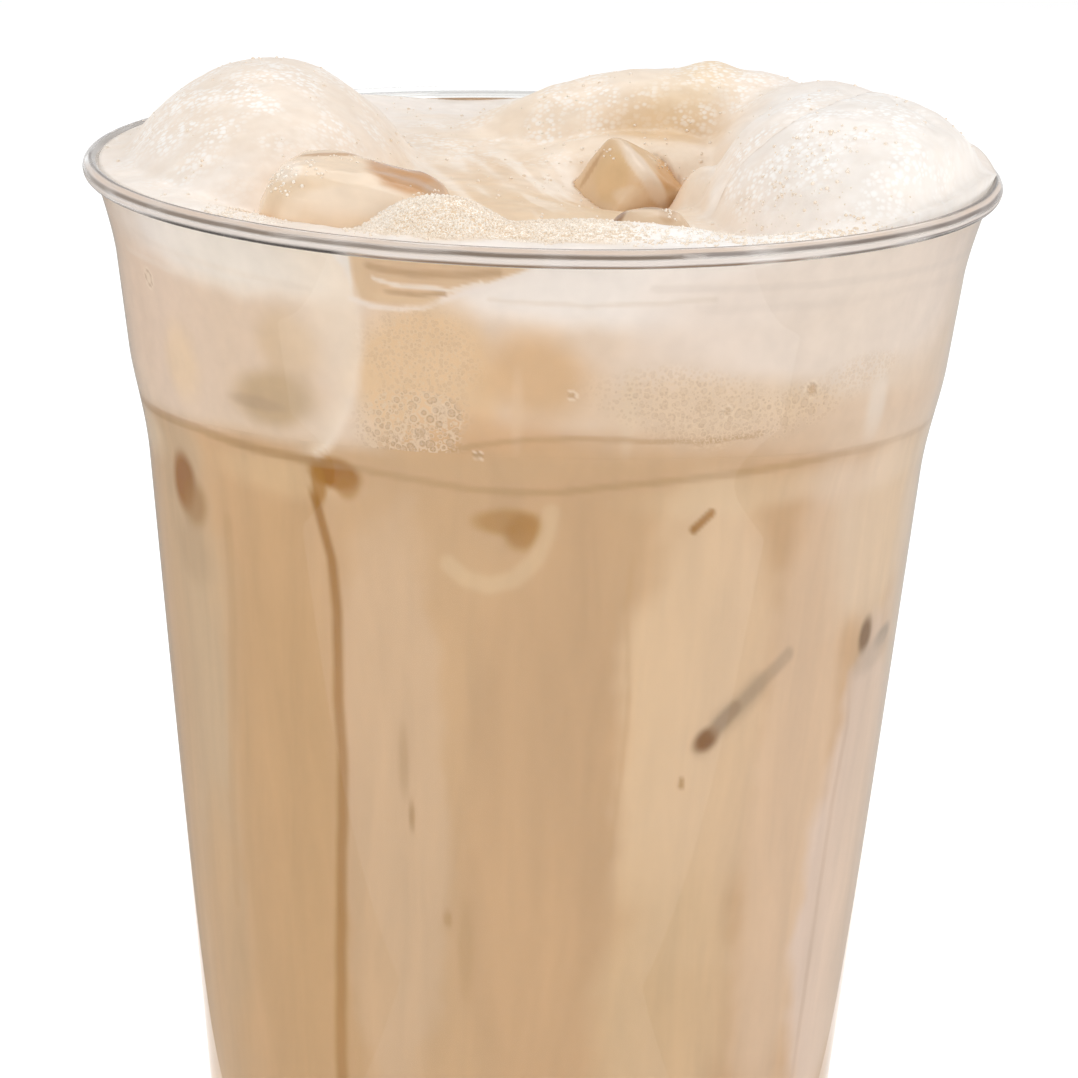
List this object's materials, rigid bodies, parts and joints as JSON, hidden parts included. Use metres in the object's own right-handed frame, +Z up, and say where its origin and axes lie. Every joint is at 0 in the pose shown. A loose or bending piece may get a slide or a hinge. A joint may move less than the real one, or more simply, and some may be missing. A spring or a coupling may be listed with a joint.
{
  "type": "iced chai latte in a clear plastic cup",
  "caption": "Iced chai latte: milky spiced tea with a thick uneven milk foam and melting ice, in a tall clear plastic cup with a rolled rim.",
  "frame": {"origin": "middle of the cup's base, on the surface it stands on", "axes": "+Z up along the cup's axis, -Y towards the front that the picture shows, +X to its right"},
  "size_m": [0.098, 0.098, 0.144],
  "materials": {
    "clear_plastic": "clear smooth plastic",
    "milky_chai": "opaque milky tea",
    "milk_foam": "frothy, matt with fine bubbles",
    "wet_ice": "wet, cloudy, tinted by the tea"
  },
  "bodies": {
    "root": {"cup": "clear_plastic", "chai": "milky_chai", "foam": "milk_foam", "ice_left": "wet_ice", "ice_middle": "wet_ice", "ice_right": "wet_ice"}
  },
  "joints": []
}
